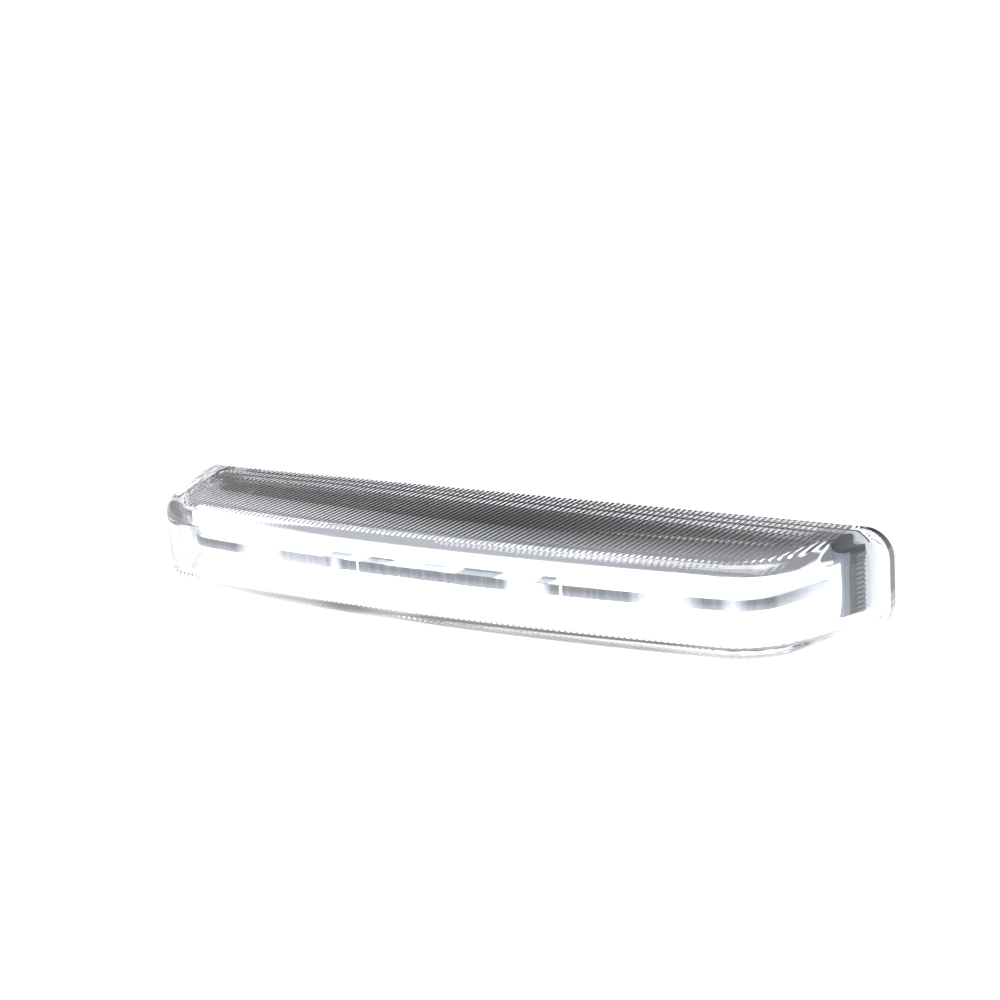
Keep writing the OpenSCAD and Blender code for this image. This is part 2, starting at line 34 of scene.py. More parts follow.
# Driving sizes of the lens and the end blocks, as in the CAD source
LENGTH = 202.0
HEIGHT = 23.5
DEPTH = 41.5
FLANGE = 3.4
FLANGE_CORNER = 6.5
END_LEDGE = 2.5
BOW_RADIUS = 670.0
CORNER_RADIUS = 20.0
END_TAPER = math.radians(20.0)
DRAFT = math.tan(math.radians(1.2))
EDGE_RADIUS = 4.0
LENS_WALL = 2.5
INNER_EDGE = 4.0
FLUTE_PITCH = 1.5
FLUTE_DEPTH = 0.15
FRONT_SHARE = 0.15
PLAIN_END = 9.5
BLOCK_SETBACK = 5.0

# Worked out from them
HALF_LENGTH = LENGTH / 2
HALF_HEIGHT = HEIGHT / 2
FLUTE_COUNT = round((LENGTH - 2 * PLAIN_END) / FLUTE_PITCH)
FLUTE_HALF = FLUTE_COUNT * FLUTE_PITCH / 2
BOW_CENTRE = DEPTH - BOW_RADIUS

# The lens's mesh: how fast the flutes fade over the front edge, the small bevel at the back, the
# ring that keeps the flange's front crisp, the steps, and the distance within which points are one
FLUTE_FADE = 3.0
BACK_BEVEL = 0.25
FLANGE_RING = 0.3
STEPS_PER_FLUTE = 2
END_STEPS = 40
EDGE_RINGS = 11
INNER_RINGS = 10
SMOOTH_ANGLE = 14.0
WELD = 0.001

# Camera that fits the photograph's silhouette, in metres
LENS_MM = 74.54
CAMERA_AT = (0.274238, -0.415859, 0.140503)
CAMERA_RIGHT = (0.83939, 0.53931, -0.06766)
CAMERA_UP = (-0.08224, 0.24906, 0.96499)
CAMERA_BACK = (0.53727, -0.80444, 0.25340)
SENSOR_MM = 36.0
CLIP = (0.01, 300.0)

# Softboxes, all aimed at the origin: name, place, width and height in metres, and power in watts
SOFTBOXES = (
    ("softbox_top", (0, 0.1, 0.9), 0.9, 0.5, 5),
    ("softbox_front", (0.1, -1.0, 0.5), 0.8, 0.5, 4),
    ("softbox_right", (1.0, -0.1, 0.35), 0.4, 0.5, 1),
)

# Stage: the background is as pale as the floor up to where the height over the horizon has the
# first of these sines, and grey past the second
HORIZON = (0.065, 0.09)
SKY_STRENGTH = 0.25
FLOOR_HALF = 60000.0
FLOOR_GAP = 0.02
FLOOR_NOISE = (40.0, 3.0)
FLOOR_SHADES = ((0.1, 0.1, 0.1), (0.12, 0.12, 0.12))
FLOOR_ROUGHNESS = 0.8
FLOOR_GLOW = 0.98

# Grain of moulded and metal surfaces: noise per metre, detail, spread of the roughness, and bump
CLOUD_SCALE = 108.0
CLOUD_DETAIL = 3.0
GRAIN_SCALE = 3600.0
GRAIN_DETAIL = 2.0
ROUGHNESS_SPREAD = 0.15
BUMP_STRENGTH = 0.25
BUMP_HEIGHT = 0.05
SHADE_STOPS = (0.3, 0.7)

# Light inside the lamp: its colour, the sources' own glow, and how bright the painted glow that
# stands in for its light makes the reflectors, the boards and the lit band
GLOW_COLOUR = (0.95, 0.96, 1.0)
WHITE = (1.0, 1.0, 1.0)
SOURCE_GLOW = 40.0
INNER_GLOW = 2.2
BOARD_GLOW = 1.4
LIT_BAND_GLOW = 1.3

# In the pairs below that are places, a change starts at the first and ends at the second.
# A reach is a distance from the upright axis that the bowed front is turned about.

# Lens: painted glow that stands in for light caught in its lower edge on the front half and the
# corners, stronger towards the left, in the ends of the flange, and in the top
EDGE_GLOW = 0.2
EDGE_HEIGHT = (-8.2, -9.2)
FRONT_HALF = (17.0, 24.0)
CORNER_HALF = (74.0, 80.0)
EDGE_LEFT = (-45.0, -70.0)
EDGE_LEFT_GAIN = 1.5
FLANGE_GLOW = 0.04
FLANGE_END = (93.0, 96.0)
FLANGE_TOP = (8.0, 10.0)
TOP_GLOW = 0.035
TOP_ABOVE = 7.5
TOP_REACH = (BOW_RADIUS - 19.0, BOW_RADIUS - 6.0)
CLEAR_COLOUR = (0.955, 0.968, 1.0)
CLEAR_IOR = 1.58
RIPPLE_SCALE = 60.0
RIPPLE_ROUGHNESS = 0.03

# Upper reflector: painted light on a roof, as if lit from the front and the left, with a painted
# shadow along its front edge, and painted shade on a grey rim under it, into which the painted glow
# inside passes a little lower at the right than at the left
ROOF_GLOW = (0.03, 0.75)
ROOF_REACH = (BOW_RADIUS - 22.0, BOW_RADIUS - 9.0)
ROOF_EDGE_REACH = (BOW_RADIUS - 9.4, BOW_RADIUS - 9.0)
ROOF_EDGE_SHARE = 0.4
ROOF_LEFT = (20.0, -65.0)
ROOF_LEFT_GLOW = 0.95
ROOF_RIGHT = (20.0, 70.0)
ROOF_RIGHT_SHARE = 0.5
ROOF_ABOVE = (7.75, 7.85)
RIM_ABOVE = (6.98, 7.02)
RIM_FADE = (7.15, 7.33)
RIM_RIGHT = (60.0, 82.0)
RIM_RIGHT_LIFT = 0.08
RIM_LEFT = (-30.0, -60.0)
RIM_LEFT_LIFT = -0.1
RIM_GLOW = 0.4
RIM_DIMS = (30.0, 75.0)
RIM_DIM_SHARE = 0.5
RIM_SHADE = 0.3

# Housing: a pale band of painted light on it, weaker at the corners, and painted light that reaches
# its left end
LIT_BAND_START = 0.3
LIT_BAND_END = 7.2
LIT_BAND_BRIGHTEN = 18.0
LIT_BAND_CORNER = (76.0, 84.0)
LIT_BAND_CORNER_GLOW = 0.35
HOUSING_LEFT = (-50.0, -85.0)
HOUSING_LEFT_GLOW = 0.2

# Seal: dark with painted shade in the groove at its foot and on its face, but pale with a painted
# glow elsewhere, and all over at both ends of the light
SEAL_FOOT = 1.7
SEAL_GROOVE = (0.4, 0.6)
SEAL_FACE = 4.28
SEAL_SHADE = 0.08
SEAL_END = 88.0
SEAL_END_HEIGHT = 8.0
SEAL_END_GLOW = 0.45

# End blocks: shades of the ribs, the band in front of them and the top, with painted shade between
# the ribs, and painted light that spills on their inner side past a line that is crowned over their
# height
RIB_RISE = 0.3
RIB_DEPTH = 5.25
RIB_SHADES = (0.1, 0.42)
BAND = (6.6, 6.9)
BAND_SHADES = (0.16, 0.85)
BLOCK_TOP = 7.6
BLOCK_TOP_SHADE = 0.2
SPILL_GLOW = 1.6
SPILL = (90.6, 91.0)
SPILL_DEPTH = (4.2, 4.8)
SPILL_TOP = (6.2, 6.8)
SPILL_CROWN = 0.8
BLOCK_HALF_HEIGHT = 8.0

# Centre plate: half height of the grey strip on its front edge, and the painted light and painted
# glow streaks on it
STRIP_HALF = 1.27
STRIP_LOW = (0.3, -1.3)
STRIP_LOW_GLOW = 0.3
HOT_GLOW = 1.2
STREAK_GLOW = 0.18
STREAK_STOPS = (0.45, 0.7)
STREAK_SQUEEZE = (1.0, 0.0, 0.12)

# Places along the light, as x, half width, soft border and level: painted light that falls on the
# plate's edge, painted shade on parts of the boards, and unlit stretches of the lens's lower edge,
# where its painted glow is left out
HOT_SPOTS = (
    (-54.5, 2.5, 7, 1), (-42, 7, 5, 0.3), (-30.6, 0.5, 2, 0.7), (-23.4, 0.15, 0.3, 1),
    (24.8, 3.5, 3, 1), (33.8, 0.15, 0.3, 1), (59.5, 2, 7, 1), (75.2, 0.3, 3, 0.6),
    (88, 0.5, 5, 0.6),
)
SHADED = (
    (-81, 3, 2, 0.8), (-38.5, 1.5, 1, 0.4), (-31, 3, 1, 0.8), (-18.6, 3.5, 1, 1),
    (-10, 5, 1, 0.4), (-2.7, 3, 1, 0.7), (3.5, 3, 1, 0.4), (10.8, 5, 1.5, 1),
    (28.6, 1.8, 0.8, 1), (37, 5, 4, 0.5), (70, 4, 3, 0.4), (87, 5, 6, 0.8),
)
UNLIT = ((-28, 4, 7, 0.55), (12, 16, 6, 0.5), (42, 18, 8, 0.6))


# Outline of the dome, seen from above
def corner_centre():
    """Half length of the dome, and the centre of the arc that touches the end wall and the bow."""
    dome_half = HALF_LENGTH - END_LEDGE + FLANGE * math.tan(END_TAPER)
    foot_x = dome_half - CORNER_RADIUS * math.cos(END_TAPER)
    foot_d = -CORNER_RADIUS * math.sin(END_TAPER)
    # From the foot, the centre runs along the wall until it lies one corner radius inside the bow
    slope = 2 * ((foot_d - BOW_CENTRE) * math.cos(END_TAPER) - foot_x * math.sin(END_TAPER))
    reach = foot_x**2 + (foot_d - BOW_CENTRE) ** 2 - (BOW_RADIUS - CORNER_RADIUS) ** 2
    run = (-slope + math.sqrt(slope**2 - 4 * reach)) / 2
    x = foot_x - run * math.sin(END_TAPER)
    return dome_half, x, foot_d + run * math.cos(END_TAPER)


DOME_HALF, CORNER_X, CORNER_D = corner_centre()


def outline_depth(x, inset):
    """Depth of the dome's outline at x, with the outline moved in by inset."""
    from_middle = np.abs(x)
    corner_radius = CORNER_RADIUS - inset
    bow = BOW_RADIUS - inset
    wall_foot = DOME_HALF - inset / math.cos(END_TAPER)
    wall = np.maximum(0, (wall_foot - from_middle) / math.tan(END_TAPER))
    drop = np.maximum(0, corner_radius * corner_radius - (from_middle - CORNER_X) ** 2)
    corner = CORNER_D + np.sqrt(drop)
    front = BOW_CENTRE + np.sqrt(np.maximum(0, bow * bow - from_middle * from_middle))
    on_wall = from_middle >= CORNER_X + corner_radius * math.cos(END_TAPER)
    on_corner = from_middle >= bow * CORNER_X / (BOW_RADIUS - CORNER_RADIUS)
    return np.where(on_wall, wall, np.where(on_corner, corner, front))


# Meshes
def weld(mesh):
    """Join the points that lie on each other, so that no face has lost its area."""
    shape = bmesh.new()
    shape.from_mesh(mesh)
    bmesh.ops.remove_doubles(shape, verts=shape.verts, dist=WELD * MM)
    shape.to_mesh(mesh)
    shape.free()


def mesh_object(name, points, faces, smooth_angle=None):
    """A new object from points in millimetres."""
    mesh = bpy.data.meshes.new(name)
    mesh.from_pydata((np.asarray(points) * MM).tolist(), [], faces)
    weld(mesh)
    mesh.validate()
    mesh.update()
    piece = bpy.data.objects.new(name, mesh)
    bpy.context.scene.collection.objects.link(piece)
    if smooth_angle is not None:
        mesh.shade_smooth()
        mesh.set_sharp_from_angle(angle=math.radians(smooth_angle))
    return piece


def grid_faces(rows, columns, start, flip):
    """Quads between neighbouring points of a grid that is stored row by row."""
    faces = []
    for row in range(rows - 1):
        for column in range(columns - 1):
            point = start + row * columns + column
            quad = (point, point + 1, point + columns + 1, point + columns)
            faces.append(quad[::-1] if flip else quad)
    return faces


# Lens
def lens_stations():
    """x of each cross-section and how deep its groove is sunk: flutes with straight sides."""
    steps = FLUTE_COUNT * STEPS_PER_FLUTE
    fluted = np.linspace(-FLUTE_HALF, FLUTE_HALF, steps + 1)
    phase = (np.arange(steps + 1) % STEPS_PER_FLUTE) / STEPS_PER_FLUTE
    groove = FLUTE_DEPTH * np.abs(2 * phase - 1)
    # The steps of the smooth ends get finer towards the end, where the outline turns
    turn = np.sin(np.linspace(0, math.pi / 2, END_STEPS + 1)[1:])
    end = FLUTE_HALF + (HALF_LENGTH - FLUTE_HALF) * turn
    smooth = np.zeros(END_STEPS)
    return np.concatenate([-end[::-1], fluted, end]), np.concatenate([smooth, groove, smooth])


def height_share(x):
    """Share of the full height that the round corners of the flange leave at x."""
    past = np.maximum(0, np.abs(x) - (HALF_LENGTH - FLANGE_CORNER))
    left = HALF_HEIGHT - FLANGE_CORNER + np.sqrt(np.maximum(0, FLANGE_CORNER**2 - past**2))
    return left / HALF_HEIGHT


def outer_sections(x, groove):
    """Depth and height of the upper half of every outer section."""
    share = height_share(x)

    def on_flange(depth, drop=0.0):
        """A ring of the flange at one depth, with its height lowered by drop."""
        return np.full_like(x, depth), share * (HALF_HEIGHT - depth * DRAFT - drop) - groove

    profile = [on_flange(0, BACK_BEVEL), on_flange(BACK_BEVEL)]
    profile += [on_flange(FLANGE - FLANGE_RING), on_flange(FLANGE)]
    for degrees in np.linspace(90, 0, EDGE_RINGS):
        angle = math.radians(degrees)
        sunk = groove * (FRONT_SHARE + (1 - FRONT_SHARE) * (degrees / 90) ** FLUTE_FADE)
        depth = np.maximum(FLANGE, outline_depth(x, EDGE_RADIUS * (1 - math.cos(angle)) + sunk))
        drop = EDGE_RADIUS * (1 - math.sin(angle))
        profile.append((depth, share * (HALF_HEIGHT - depth * DRAFT - drop) - sunk))
    return profile


def inner_sections(x):
    """Depth and height of the upper half of every section of the smooth inside."""
    opening = HALF_HEIGHT - LENS_WALL
    profile = [(np.zeros_like(x), np.full_like(x, opening))]
    for angle in np.radians(np.linspace(90, 0, INNER_RINGS)):
        inset = LENS_WALL + INNER_EDGE * (1 - math.cos(angle))
        depth = outline_depth(x, inset)
        profile.append((depth, opening - depth * DRAFT - INNER_EDGE * (1 - math.sin(angle))))
    return profile


def closed_sections(x, profile):
    """Points of each section from the top of the back round the front to the bottom of the back."""
    upper = [(x, -depth, height) for depth, height in profile]
    lower = [(x, -depth, -height) for depth, height in reversed(profile)]
    return np.stack([np.stack(point, axis=-1) for point in upper + lower], axis=1)


def build_lens():
    """The lens as one closed shell: fluted outside and smooth inside, joined along the back."""
    x, groove = lens_stations()
    outer = closed_sections(x, outer_sections(x, groove))
    opening_half = DOME_HALF - LENS_WALL / math.cos(END_TAPER)
    inner_x = opening_half * np.sin(np.linspace(-math.pi / 2, math.pi / 2, len(x)))
    inner = closed_sections(inner_x, inner_sections(inner_x))

    rows = len(x)
    outer_count = outer.shape[1]
    inner_count = inner.shape[1]
    inner_start = rows * outer_count
    faces = grid_faces(rows, outer_count, 0, False)
    faces += grid_faces(rows, inner_count, inner_start, True)

    # The rim of the back, between the outside and the opening, along the top and the bottom
    outer_rows = [row * outer_count for row in range(rows)]
    inner_rows = [inner_start + row * inner_count for row in range(rows)]
    neighbours = zip(outer_rows, outer_rows[1:], inner_rows, inner_rows[1:])
    for outside, next_outside, inside, next_inside in neighbours:
        faces.append((outside, next_outside, next_inside, inside))
        faces.append((
            next_outside + outer_count - 1, outside + outer_count - 1,
            inside + inner_count - 1, next_inside + inner_count - 1,
        ))

    # The two end faces of the flange, and the rest of the rim, between them and the opening
    left_inside = range(inner_start, inner_start + inner_count)
    right_outside = outer_rows[-1]
    right_inside = range(inner_rows[-1], inner_rows[-1] + inner_count)
    faces.append(tuple(range(outer_count - 1, -1, -1)))
    faces.append(tuple(range(right_outside, right_outside + outer_count)))
    faces.append((0, *left_inside, outer_count - 1))
    faces.append((right_outside, right_outside + outer_count - 1, *reversed(right_inside)))
    points = np.concatenate([outer.reshape(-1, 3), inner.reshape(-1, 3)])
    return mesh_object("reeded_lens", points, faces, SMOOTH_ANGLE)


# Materials
class Tree:
    """Short calls that add nodes to a node tree. Spans and limits are in millimetres."""

    def __init__(self, node_tree):
        self.nodes = node_tree.nodes
        self.links = node_tree.links

    def give(self, value, socket):
        """Set a number on a socket, or link another socket to it."""
        if isinstance(value, (int, float)):
            socket.default_value = value
        else:
            self.links.new(value, socket)

    def coordinates(self, kind="Object"):
        return self.nodes.new("ShaderNodeTexCoord").outputs[kind]

    def split(self, vector):
        """The x, y and z of a vector."""
        node = self.nodes.new("ShaderNodeSeparateXYZ")
        self.links.new(vector, node.inputs["Vector"])
        return node.outputs["X"], node.outputs["Y"], node.outputs["Z"]

    def place(self):
        """The x, depth and height of a point of the object."""
        x, y, height = self.split(self.coordinates())
        return x, self.calc("MULTIPLY", y, -1), height

    def calc(self, operation, *values):
        """A Math node on sockets and numbers."""
        node = self.nodes.new("ShaderNodeMath")
        node.operation = operation
        for socket, value in zip(node.inputs, values):
            self.give(value, socket)
        return node.outputs["Value"]

    def product(self, first, *others):
        for other in others:
            first = self.calc("MULTIPLY", first, other)
        return first

    def total(self, first, *others):
        for other in others:
            first = self.calc("ADD", first, other)
        return first

    def past(self, source, limit):
        """1 where the source is over the limit, and 0 elsewhere."""
        return self.calc("GREATER_THAN", source, limit * MM)

    def under(self, source, limit):
        """1 where the source is below the limit, and 0 elsewhere."""
        return self.calc("LESS_THAN", source, limit * MM)

    def rescale(self, source, from_min, from_max, to_min, to_max):
        """Carry a value from one range over to another, and hold it at the range's ends."""
        node = self.nodes.new("ShaderNodeMapRange")
        node.inputs["From Min"].default_value = from_min
        node.inputs["From Max"].default_value = from_max
        node.inputs["To Min"].default_value = to_min
        node.inputs["To Max"].default_value = to_max
        self.links.new(source, node.inputs["Value"])
        return node.outputs["Result"]

    def fade(self, source, span, first, last):
        """A number that is first up to the span's start and last from its end on."""
        start, end = span
        return self.rescale(source, start * MM, end * MM, first, last)

    def blend(self, share, first, last):
        """The first value where share is 0 and the last where it is 1."""
        node = self.nodes.new("ShaderNodeMix")
        self.links.new(share, node.inputs["Factor"])
        self.give(first, node.inputs["A"])
        self.give(last, node.inputs["B"])
        return node.outputs["Result"]

    def near(self, x, places):
        """Each place's level near it along x, and 0 away from all of them."""
        levels = []
        for centre, half, soft, level in places:
            away = self.calc("ABSOLUTE", self.calc("SUBTRACT", x, centre * MM))
            levels.append(self.fade(away, (half, half + soft), level, 0))
        highest = levels[0]
        for level in levels[1:]:
            highest = self.calc("MAXIMUM", highest, level)
        return highest

    def vector_calc(self, operation, vector, other):
        """A Vector Math node on a socket and a constant vector."""
        node = self.nodes.new("ShaderNodeVectorMath")
        node.operation = operation
        node.inputs[1].default_value = other
        self.links.new(vector, node.inputs[0])
        return node

    def bow_reach(self):
        """Distance of a point from the upright axis that the bowed front is turned about."""
        flat = self.vector_calc("MULTIPLY", self.coordinates(), (1, 1, 0))
        axis = (0, -BOW_CENTRE * MM, 0)
        return self.vector_calc("DISTANCE", flat.outputs["Vector"], axis).outputs["Value"]

    def noise(self, scale, detail, vector=None):
        """Noise by the place on the object, or by another vector."""
        if vector is None:
            vector = self.coordinates()
        node = self.nodes.new("ShaderNodeTexNoise")
        node.inputs["Scale"].default_value = scale
        node.inputs["Detail"].default_value = detail
        self.links.new(vector, node.inputs["Vector"])
        return node.outputs["Fac"]


class Surface(Tree):
    """A material, with calls that set its colour, gloss, bump and glow."""

    def __init__(self, name):
        self.material = bpy.data.materials.new(name)
        self.material.use_nodes = True
        super().__init__(self.material.node_tree)
        self.shader = self.nodes["Principled BSDF"]

    def set_input(self, name, value):
        self.shader.inputs[name].default_value = value

    def mottle(self, source, low, high):
        """Base colour that drifts between two shades."""
        ramp = self.nodes.new("ShaderNodeValToRGB")
        stops = ramp.color_ramp.elements
        for stop, position, colour in zip(stops, SHADE_STOPS, (low, high)):
            stop.position = position
            stop.color = (*colour, 1)
        self.links.new(source, ramp.inputs["Fac"])
        self.links.new(ramp.outputs["Color"], self.shader.inputs["Base Color"])

    def gloss(self, source, smoothest, roughest):
        roughness = self.rescale(source, 0, 1, smoothest, roughest)
        self.links.new(roughness, self.shader.inputs["Roughness"])

    def bump(self, source):
        node = self.nodes.new("ShaderNodeBump")
        node.inputs["Strength"].default_value = BUMP_STRENGTH
        node.inputs["Distance"].default_value = BUMP_HEIGHT * MM
        self.links.new(source, node.inputs["Height"])
        self.links.new(node.outputs["Normal"], self.shader.inputs["Normal"])

    def glow(self, strength, colour=GLOW_COLOUR):
        """Light that the surface gives off, as one number or by place."""
        self.set_input("Emission Color", (*colour, 1))
        self.give(strength, self.shader.inputs["Emission Strength"])

    def shade(self, factor):
        """Darken or lighten the base colour by place."""
        base = self.shader.inputs["Base Color"]
        node = self.nodes.new("ShaderNodeVectorMath")
        node.operation = "SCALE"
        self.links.new(base.links[0].from_socket, node.inputs[0])
        self.links.new(factor, node.inputs["Scale"])
        self.links.new(node.outputs["Vector"], base)


def moulded(name, low, high, roughness, metallic=0.0):
    """Moulded plastic or metal with a fine grain, a slight change of shade and uneven gloss."""
    surface = Surface(name)
    surface.mottle(surface.noise(CLOUD_SCALE, CLOUD_DETAIL), low, high)
    grain = surface.noise(GRAIN_SCALE, GRAIN_DETAIL)
    smoothest = roughness * (1 - ROUGHNESS_SPREAD)
    surface.gloss(grain, smoothest, min(1.0, roughness * (1 + ROUGHNESS_SPREAD)))
    surface.bump(grain)
    surface.set_input("Metallic", metallic)
    return surface


def clear_plastic():
    """Polished polycarbonate with a very faint ripple, and a painted glow for light caught in its
    edges and top.
    """
    surface = Surface("clear_polycarbonate")
    surface.set_input("Base Color", (*CLEAR_COLOUR, 1))
    surface.set_input("Transmission Weight", 1.0)
    surface.set_input("IOR", CLEAR_IOR)
    surface.gloss(surface.noise(RIPPLE_SCALE, GRAIN_DETAIL), 0.0, RIPPLE_ROUGHNESS)

    x, depth, height = surface.place()
    from_middle = surface.calc("ABSOLUTE", x)
    in_front = surface.fade(depth, FRONT_HALF, 0, 1)
    at_corner = surface.fade(from_middle, CORNER_HALF, 0, 1)
    # Painted light: glow in the lower edge, the top and the flange's ends, not cast by any lamp
    edge = surface.product(
        surface.fade(height, EDGE_HEIGHT, 0, EDGE_GLOW),
        surface.calc("MAXIMUM", in_front, at_corner),
        surface.calc("SUBTRACT", 1, surface.near(x, UNLIT)),
        surface.fade(x, EDGE_LEFT, 1, EDGE_LEFT_GAIN),
    )
    top = surface.product(
        surface.past(height, TOP_ABOVE),
        surface.fade(surface.bow_reach(), TOP_REACH, 0, TOP_GLOW),
    )
    flange_end = surface.product(
        surface.fade(from_middle, FLANGE_END, 0, FLANGE_GLOW),
        surface.fade(height, FLANGE_TOP, 1, 0),
    )
    surface.glow(surface.total(edge, top, flange_end))
    return surface


def reflector_plastic():
    """Light grey plastic: a painted glow makes it bright inside, with painted shade on a grey rim and
    a roof painted as lit from the front.
    """
    surface = moulded("reflector", (0.42, 0.43, 0.47), (0.48, 0.49, 0.53), 0.4)
    x, _, height = surface.place()
    reach = surface.bow_reach()
    # Painted light on the roof, as if lit from the front and the left, with a painted shadow at its
    # front edge
    from_front = surface.fade(reach, ROOF_REACH, *ROOF_GLOW)
    right = surface.fade(x, ROOF_RIGHT, 1, ROOF_RIGHT_SHARE)
    left = surface.fade(x, ROOF_LEFT, 0, ROOF_LEFT_GLOW)
    roof = surface.calc("MULTIPLY_ADD", from_front, right, left)
    roof = surface.product(roof, surface.fade(reach, ROOF_EDGE_REACH, 1, ROOF_EDGE_SHARE))

    lifted = surface.total(
        height,
        surface.fade(x, RIM_RIGHT, 0, RIM_RIGHT_LIFT * MM),
        surface.fade(x, RIM_LEFT, 0, RIM_LEFT_LIFT * MM),
    )
    # Painted shade on the rim: its glow is dimmed and its base colour darkened
    grey = surface.fade(x, RIM_DIMS, RIM_GLOW, RIM_DIM_SHARE * RIM_GLOW)
    rim = surface.blend(surface.fade(lifted, RIM_FADE, 0, 1), INNER_GLOW, grey)
    is_roof = surface.fade(height, ROOF_ABOVE, 0, 1)
    is_rim = surface.fade(height, RIM_ABOVE, 0, 1)
    surface.glow(surface.blend(is_rim, INNER_GLOW, surface.blend(is_roof, rim, roof)))
    surface.shade(surface.blend(is_rim, 1, RIM_SHADE))
    return surface


def housing_plastic():
    """Black moulding with a pale, glowing band of painted light round its back half, inside the lens.
    """
    surface = moulded("black_housing", (0.028, 0.029, 0.032), (0.04, 0.041, 0.044), 0.42)
    x, depth, _ = surface.place()
    # Painted light: a pale band that glows where light falls on the housing behind the lens, weaker
    # near the corners, and a painted glow at its left end
    past_start = surface.past(depth, LIT_BAND_START)
    lit_band = surface.product(past_start, surface.under(depth, LIT_BAND_END))
    surface.shade(surface.blend(lit_band, 1, LIT_BAND_BRIGHTEN))
    from_middle = surface.calc("ABSOLUTE", x)
    glow = surface.fade(from_middle, LIT_BAND_CORNER, LIT_BAND_GLOW, LIT_BAND_CORNER_GLOW)
    left = surface.product(surface.fade(x, HOUSING_LEFT, 0, HOUSING_LEFT_GLOW), past_start)
    surface.glow(surface.calc("MAXIMUM", surface.product(lit_band, glow), left))
    return surface


def seal_plastic():
    """Translucent silicone, dark with painted shade in the groove at its foot and on its front face,
    elsewhere pale with a painted glow.
    """
    surface = moulded("seal_silicone", (0.72, 0.73, 0.75), (0.82, 0.83, 0.85), 0.5)
    x, depth, height = surface.place()
    is_low = surface.under(surface.calc("ABSOLUTE", height), SEAL_END_HEIGHT)
    is_end = surface.product(is_low, surface.past(surface.calc("ABSOLUTE", x), SEAL_END))
    from_foot = surface.calc("ABSOLUTE", surface.calc("SUBTRACT", depth, SEAL_FOOT * MM))
    past_groove = surface.fade(from_foot, SEAL_GROOVE, 0, 1)
    pale = surface.product(past_groove, surface.under(depth, SEAL_FACE))
    pale = surface.calc("MAXIMUM", pale, is_end)
    # Painted shade in the groove and on the face; a painted glow on the pale rest
    surface.shade(surface.blend(pale, SEAL_SHADE, 1))
    surface.glow(surface.product(pale, surface.blend(is_end, LIT_BAND_GLOW, SEAL_END_GLOW)))
    return surface


def end_block_plastic():
    """Grey blocks at the ends: a painted glow of light on their inner side, darker in a band and on
    top, and painted shade between ribs.
    """
    surface = moulded("end_block", (0.40, 0.44, 0.50), (0.46, 0.50, 0.56), 0.5)
    x, depth, height = surface.place()
    from_middle = surface.calc("ABSOLUTE", x)
    face = DOME_HALF - BLOCK_SETBACK / math.cos(END_TAPER)
    lean = surface.calc("MULTIPLY_ADD", depth, math.tan(END_TAPER), from_middle)
    # Painted shade between the ribs; darker in a band in front of them and on top
    ribs = surface.blend(surface.past(lean, face + RIB_RISE), *RIB_SHADES)
    band = surface.fade(depth, BAND, *BAND_SHADES)
    side = surface.blend(surface.under(depth, RIB_DEPTH), band, ribs)
    surface.shade(surface.blend(surface.past(height, BLOCK_TOP), side, BLOCK_TOP_SHADE))

    # Painted light that spills on the inner side, drawn as glow
    share = surface.calc("DIVIDE", height, BLOCK_HALF_HEIGHT * MM)
    crown = surface.calc("POWER", share, 2.0)
    crowned = surface.calc("MULTIPLY_ADD", crown, SPILL_CROWN * MM, from_middle)
    surface.glow(surface.product(
        surface.fade(crowned, SPILL, SPILL_GLOW, 0),
        surface.fade(depth, SPILL_DEPTH, 0, 1),
        surface.fade(height, SPILL_TOP, 1, 0),
    ))
    return surface


def board_plastic():
    """White solder mask with a painted glow for the light of the sources on it, and painted shade in
    places between them.
    """
    surface = moulded("white_board", (0.27, 0.30, 0.30), (0.36, 0.39, 0.39), 0.4)
    x, _, _ = surface.place()
    # Painted glow, left out where the boards have painted shade
    surface.glow(surface.blend(surface.near(x, SHADED), BOARD_GLOW, 0))
    return surface


def plate_metal():
    """Satin plate: its front edge is the grey strip, with painted soft light and upright streaks of
    painted glow on it.
    """
    surface = moulded("satin_plate", (0.24, 0.265, 0.28), (0.28, 0.305, 0.32), 0.45)
    x, _, height = surface.place()
    # Noise that changes at the flutes' pitch along x, but slowly along z, makes upright streaks of
    # painted glow
    squeezed = surface.vector_calc("MULTIPLY", surface.coordinates(), STREAK_SQUEEZE)
    uneven = surface.noise(1 / (FLUTE_PITCH * MM), GRAIN_DETAIL, squeezed.outputs["Vector"])
    strip = surface.total(
        surface.fade(height, STRIP_LOW, 0, STRIP_LOW_GLOW),
        surface.product(surface.near(x, HOT_SPOTS), HOT_GLOW),
        surface.rescale(uneven, *STREAK_STOPS, 0, STREAK_GLOW),
    )
    # The faces carry the boards' painted light and painted shade
    face = surface.blend(surface.near(x, SHADED), BOARD_GLOW, 0)
    is_face = surface.past(surface.calc("ABSOLUTE", height), STRIP_HALF)
    surface.glow(surface.blend(is_face, strip, face))
    return surface


def light_source():
    """Clear dome over a lit chip."""
    surface = moulded("light_source", (1, 0.97, 0.88), (1, 0.99, 0.94), 0.2)
    surface.glow(SOURCE_GLOW, WHITE)
    return surface


def paint(piece, surface):
    piece.data.materials.clear()
    piece.data.materials.append(surface.material)


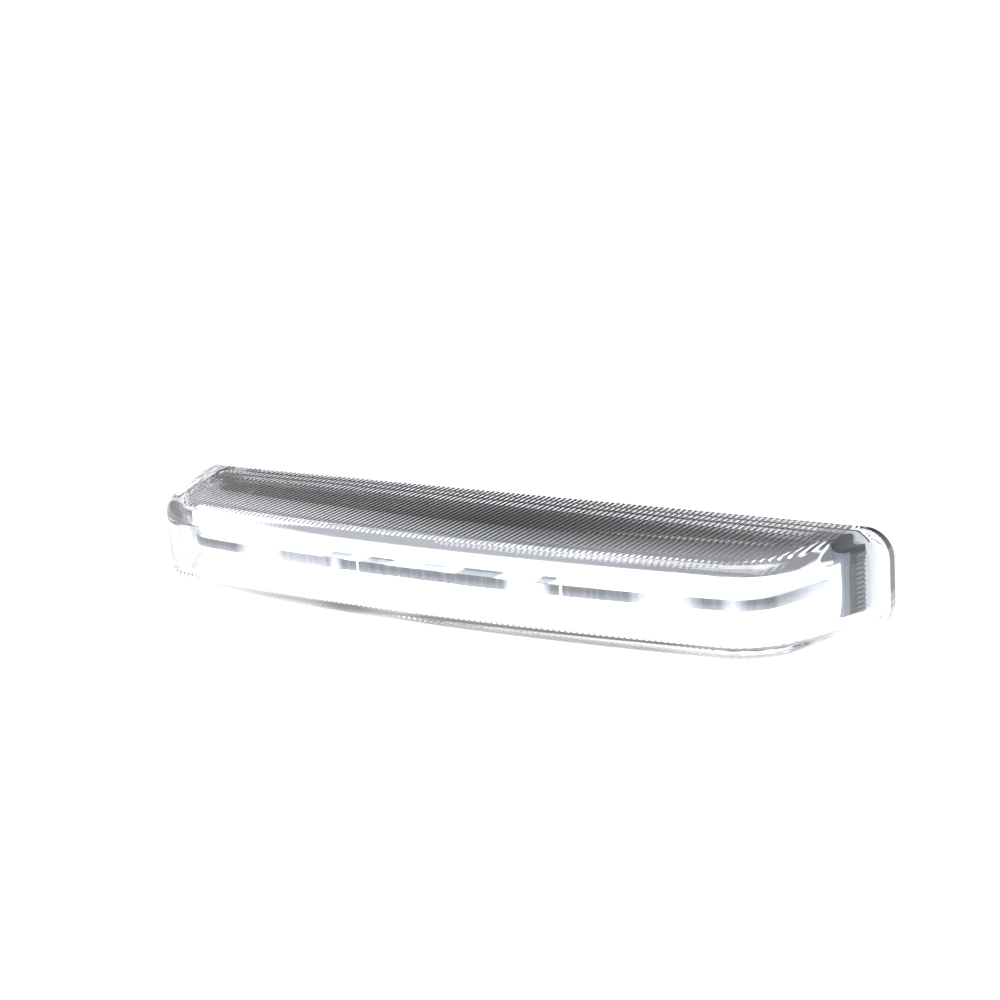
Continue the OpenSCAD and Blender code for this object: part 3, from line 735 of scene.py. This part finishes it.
# Stage
def build_stage():
    """A pale floor just under the light, far wider than any view."""
    low = -HALF_HEIGHT - FLOOR_GAP
    signs = ((-1, -1), (1, -1), (1, 1), (-1, 1))
    corners = [(FLOOR_HALF * right, FLOOR_HALF * back, low) for right, back in signs]
    floor = mesh_object("floor", corners, [(0, 1, 2, 3)])
    surface = Surface("pale_floor")
    surface.mottle(surface.noise(*FLOOR_NOISE), *FLOOR_SHADES)
    surface.set_input("Roughness", FLOOR_ROUGHNESS)
    surface.glow(FLOOR_GLOW, WHITE)
    paint(floor, surface)


def build_lights():
    for name, position, width, height, power in SOFTBOXES:
        data = bpy.data.lights.new(name, "AREA")
        data.shape = "RECTANGLE"
        data.size = width
        data.size_y = height
        data.energy = power
        light = bpy.data.objects.new(name, data)
        light.location = position
        light.rotation_euler = (-Vector(position)).to_track_quat("-Z", "Y").to_euler()
        bpy.context.scene.collection.objects.link(light)


def build_background():
    """A plain white background that turns grey a little above the horizon."""
    world = bpy.data.worlds.new("studio")
    bpy.context.scene.world = world
    world.use_nodes = True
    background = world.node_tree.nodes["Background"]
    background.inputs["Color"].default_value = (*WHITE, 1)
    tree = Tree(world.node_tree)
    _, _, rise = tree.split(tree.coordinates("Generated"))
    strength = tree.rescale(rise, *HORIZON, 1.0, SKY_STRENGTH)
    tree.links.new(strength, background.inputs["Strength"])


def build_camera():
    data = bpy.data.cameras.new("camera")
    data.sensor_fit = "HORIZONTAL"
    data.sensor_width = SENSOR_MM
    data.lens = LENS_MM
    data.clip_start, data.clip_end = CLIP
    camera = bpy.data.objects.new("camera", data)
    axes = Matrix((CAMERA_RIGHT, CAMERA_UP, CAMERA_BACK)).transposed()
    camera.matrix_world = Matrix.Translation(CAMERA_AT) @ axes.to_4x4()
    bpy.context.scene.collection.objects.link(camera)
    bpy.context.scene.camera = camera


def finishes():
    """Each finish with the CAD nodes that have it."""
    sources = [f"led_{side}_{number}" for side in ("upper", "lower") for number in range(1, 5)]
    rubber = moulded("seal_rubber", (0.02, 0.02, 0.021), (0.035, 0.035, 0.036), 0.75)
    green = moulded("board_green", (0.03, 0.15, 0.08), (0.05, 0.2, 0.11), 0.45)
    resin = moulded("component", (0.04, 0.04, 0.045), (0.07, 0.07, 0.075), 0.5)
    brass = moulded("brass", (0.7, 0.52, 0.2), (0.82, 0.64, 0.3), 0.3, metallic=1.0)
    steel = moulded("screw_steel", (0.55, 0.55, 0.53), (0.66, 0.66, 0.64), 0.32, metallic=1.0)
    vent = moulded("vent_grey", (0.18, 0.18, 0.19), (0.25, 0.25, 0.26), 0.6)
    return (
        (housing_plastic(), ["rear_base"]),
        (seal_plastic(), ["perimeter_seal"]),
        (plate_metal(), ["heat_sink"]),
        (board_plastic(), ["upper_board", "lower_board"]),
        (light_source(), sources),
        (reflector_plastic(), ["upper_reflector", "lower_reflector"]),
        (end_block_plastic(), ["end_block_left", "end_block_right"]),
        (green, ["driver_board"]),
        (resin, ["capacitor", "inductor", "driver_chip", "input_diode"]),
        (brass, ["link_pins", "mounting_inserts"]),
        (steel, ["board_screws"]),
        (rubber, ["cable_grommet"]),
        (vent, ["breather_vent"]),
    )


# Scene
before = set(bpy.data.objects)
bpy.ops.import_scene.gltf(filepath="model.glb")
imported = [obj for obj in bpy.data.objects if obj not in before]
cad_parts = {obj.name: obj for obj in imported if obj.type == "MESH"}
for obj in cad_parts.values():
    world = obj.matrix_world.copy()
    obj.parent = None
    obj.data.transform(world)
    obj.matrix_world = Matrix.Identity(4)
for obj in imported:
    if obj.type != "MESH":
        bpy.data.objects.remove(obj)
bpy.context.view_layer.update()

build_camera()
build_stage()
build_lights()
build_background()

lens = build_lens()
paint(lens, clear_plastic())
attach(lens, "root")
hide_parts("outer_lens")

for surface, names in finishes():
    for name in names:
        paint(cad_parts[name], surface)

bpy.context.scene.view_settings.view_transform = "Standard"
